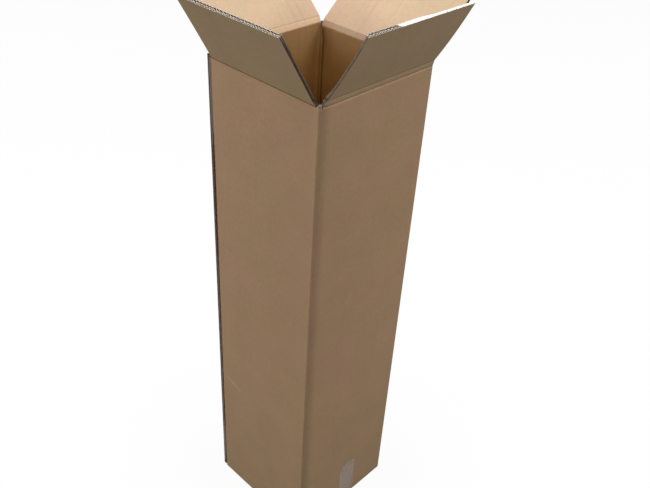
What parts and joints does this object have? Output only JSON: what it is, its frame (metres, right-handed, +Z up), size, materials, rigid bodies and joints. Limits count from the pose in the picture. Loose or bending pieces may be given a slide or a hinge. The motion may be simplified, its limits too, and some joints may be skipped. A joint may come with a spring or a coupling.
{
  "type": "tall corrugated shipping box",
  "caption": "Tall square shipping box of double-wall corrugated board, with its four top flaps standing open and its bottom flaps folded shut under clear tape.",
  "frame": {"origin": "middle of the footprint, on the surface that the box stands on", "axes": "+X right, towards the wall with the tape's torn end; +Y back; +Z up along the box's height"},
  "size_m": [0.4192, 0.4263, 1.1601],
  "materials": {
    "board": "matte",
    "tape": "glossy"
  },
  "bodies": {
    "box": {"folded_box": "board", "bottom_tape": "tape"},
    "front_flap": {"flap_front": "board"},
    "right_flap": {"flap_right": "board"},
    "back_flap": {"flap_back": "board"},
    "left_flap": {"flap_left": "board"}
  },
  "joints": [
    {"name": "front_flap_fold", "type": "hinge", "parent": "box", "child": "front_flap", "pos_m": [0, -0.1332, 1.0346], "axis": [1, 0, 0], "range_deg": [-120, 140]},
    {"name": "right_flap_fold", "type": "hinge", "parent": "box", "child": "right_flap", "pos_m": [0.1332, 0, 1.0412], "axis": [0, 1, 0], "range_deg": [-119, 141]},
    {"name": "back_flap_fold", "type": "hinge", "parent": "box", "child": "back_flap", "pos_m": [0, 0.1332, 1.0346], "axis": [-1, 0, 0], "range_deg": [-135, 125]},
    {"name": "left_flap_fold", "type": "hinge", "parent": "box", "child": "left_flap", "pos_m": [-0.1332, 0, 1.0412], "axis": [0, -1, 0], "range_deg": [-132, 128]}
  ]
}
